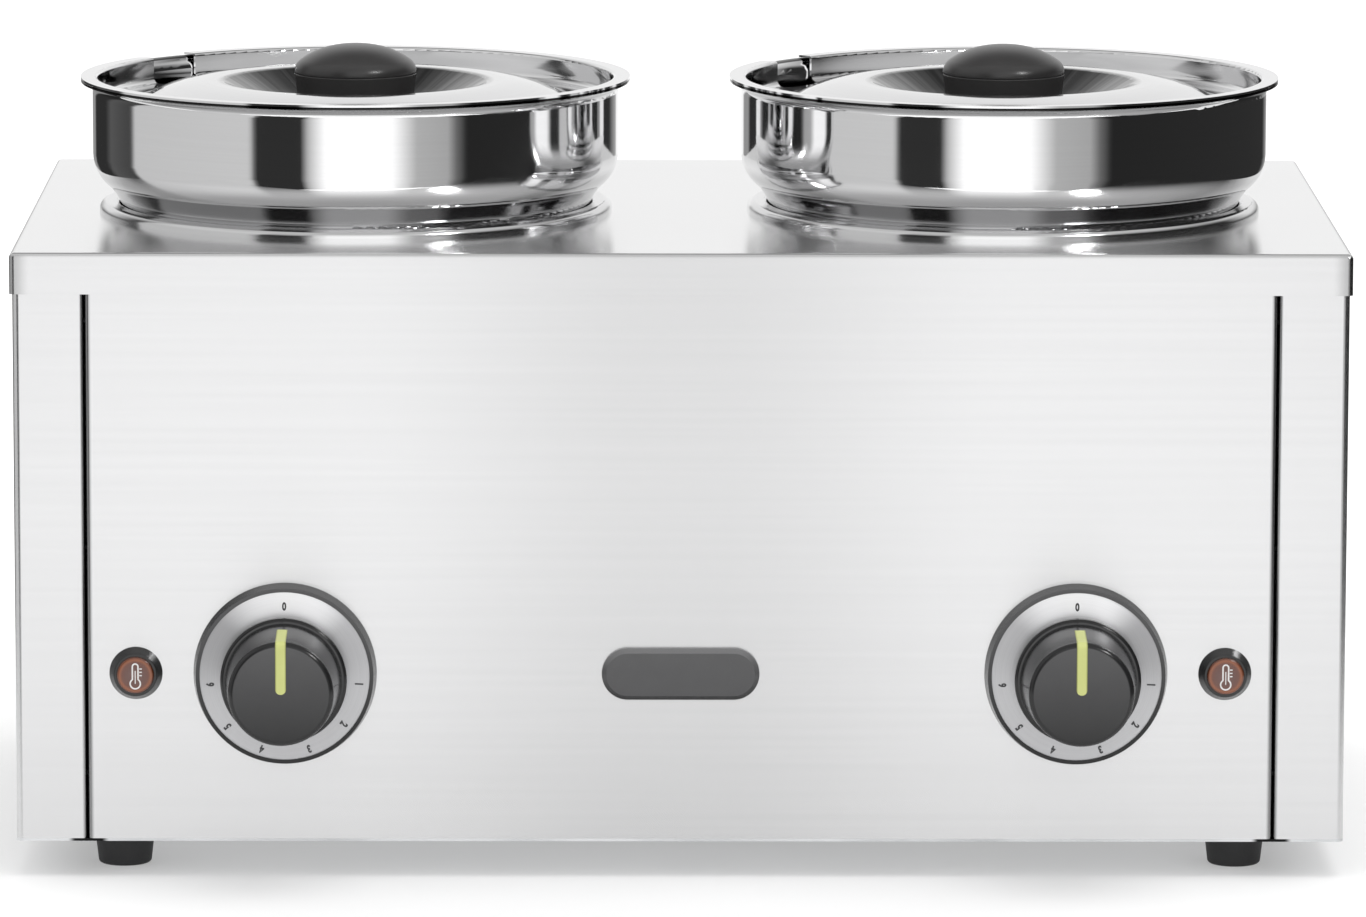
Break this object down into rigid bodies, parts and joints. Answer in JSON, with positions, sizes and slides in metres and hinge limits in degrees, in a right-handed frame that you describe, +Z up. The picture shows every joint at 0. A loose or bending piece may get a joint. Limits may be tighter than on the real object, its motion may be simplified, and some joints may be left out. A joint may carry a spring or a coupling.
{
  "type": "bain marie",
  "caption": "Counter-top stainless bain marie: wide cabinet on rubber feet, round water wells, lidded pots with ladle notches, dial thermostats and pilot lamps.",
  "frame": {"origin": "on the floor, under the middle of the whole outline, dial knobs and rear gland included", "axes": "+X to the right as seen from the front, +Z up, the control panel faces -Y"},
  "size_m": [0.5, 0.3556, 0.3006],
  "materials": {
    "brushed_steel": "brushed along its length, satin",
    "collar_steel": "drawn, polished",
    "pot_steel": "mirror polished stainless steel",
    "lid_steel": "mirror polished stainless steel",
    "plain_steel": "plain mill finish",
    "zinc_fixings": "zinc plated",
    "brass_stud": "plain",
    "element_sheath": "heat tinted",
    "copper_capillary": "drawn copper tube",
    "foot_rubber": "matt moulded",
    "seal_silicone": "translucent silicone",
    "knob_phenolic": "satin phenolic",
    "dial_black": "satin moulded",
    "scale_silver": "spun satin with plain numbers",
    "pointer_yellow": "satin",
    "pilot_black": "gloss",
    "pilot_amber": "translucent amber, dark inside",
    "name_plate_black": "satin, bare",
    "thermostat_brown": "moulded phenolic",
    "terminal_cream": "moulded",
    "gland_black": "moulded nylon"
  },
  "bodies": {
    "cabinet": {"base_plate": "plain_steel", "base_screws": "zinc_fixings", "cable_gland": "gland_black", "earth_nut": "zinc_fixings", "earth_stud": "brass_stud", "foot_nuts": "zinc_fixings", "foot_screws": "zinc_fixings", "front_left_foot": "foot_rubber", "front_panel": "brushed_steel", "front_right_foot": "foot_rubber", "gland_nut": "gland_black", "heater_nuts": "zinc_fixings", "left_capillary": "copper_capillary", "left_dial_bezel": "dial_black", "left_heater_plate": "plain_steel", "left_heating_element": "element_sheath", "left_pilot_housing": "pilot_black", "left_pilot_lens": "pilot_amber", "left_scale_ring": "scale_silver", "left_side_panel": "brushed_steel", "left_thermostat": "thermostat_brown", "left_well": "collar_steel", "left_well_seal": "seal_silicone", "name_plate": "name_plate_black", "panel_rivets": "zinc_fixings", "pilot_nuts": "pilot_black", "rear_left_foot": "foot_rubber", "rear_panel": "brushed_steel", "rear_right_foot": "foot_rubber", "right_capillary": "copper_capillary", "right_dial_bezel": "dial_black", "right_heater_plate": "plain_steel", "right_heating_element": "element_sheath", "right_pilot_housing": "pilot_black", "right_pilot_lens": "pilot_amber", "right_scale_ring": "scale_silver", "right_side_panel": "brushed_steel", "right_thermostat": "thermostat_brown", "right_well": "collar_steel", "right_well_seal": "seal_silicone", "terminal_block": "terminal_cream", "thermostat_screws": "zinc_fixings", "top_panel": "brushed_steel"},
    "left_dial": {"left_dial_knob": "dial_black", "left_pointer": "pointer_yellow", "left_thermostat_shaft": "zinc_fixings"},
    "right_dial": {"right_dial_knob": "dial_black", "right_pointer": "pointer_yellow", "right_thermostat_shaft": "zinc_fixings"},
    "left_pot": {"left_pot": "pot_steel"},
    "right_pot": {"right_pot": "pot_steel"},
    "left_lid": {"left_lid": "lid_steel", "left_lid_knob": "knob_phenolic", "left_lid_screw": "zinc_fixings"},
    "right_lid": {"right_lid": "lid_steel", "right_lid_knob": "knob_phenolic", "right_lid_screw": "zinc_fixings"}
  },
  "joints": [
    {"name": "left_dial_turn", "type": "hinge", "parent": "cabinet", "child": "left_dial", "pos_m": [-0.148, -0.13172, 0.078], "axis": [0, 1, 0], "range_deg": [0, 262]},
    {"name": "right_dial_turn", "type": "hinge", "parent": "cabinet", "child": "right_dial", "pos_m": [0.148, -0.13172, 0.078], "axis": [0, 1, 0], "range_deg": [0, 262]},
    {"name": "left_pot_lift", "type": "slide", "parent": "cabinet", "child": "left_pot", "axis": [0, 0, 1], "range_m": [0, 0.2]},
    {"name": "left_lid_lift", "type": "slide", "parent": "left_pot", "child": "left_lid", "axis": [0, 0, 1], "range_m": [0, 0.08]},
    {"name": "right_pot_lift", "type": "slide", "parent": "cabinet", "child": "right_pot", "axis": [0, 0, 1], "range_m": [0, 0.2]},
    {"name": "right_lid_lift", "type": "slide", "parent": "right_pot", "child": "right_lid", "axis": [0, 0, 1], "range_m": [0, 0.08]}
  ]
}
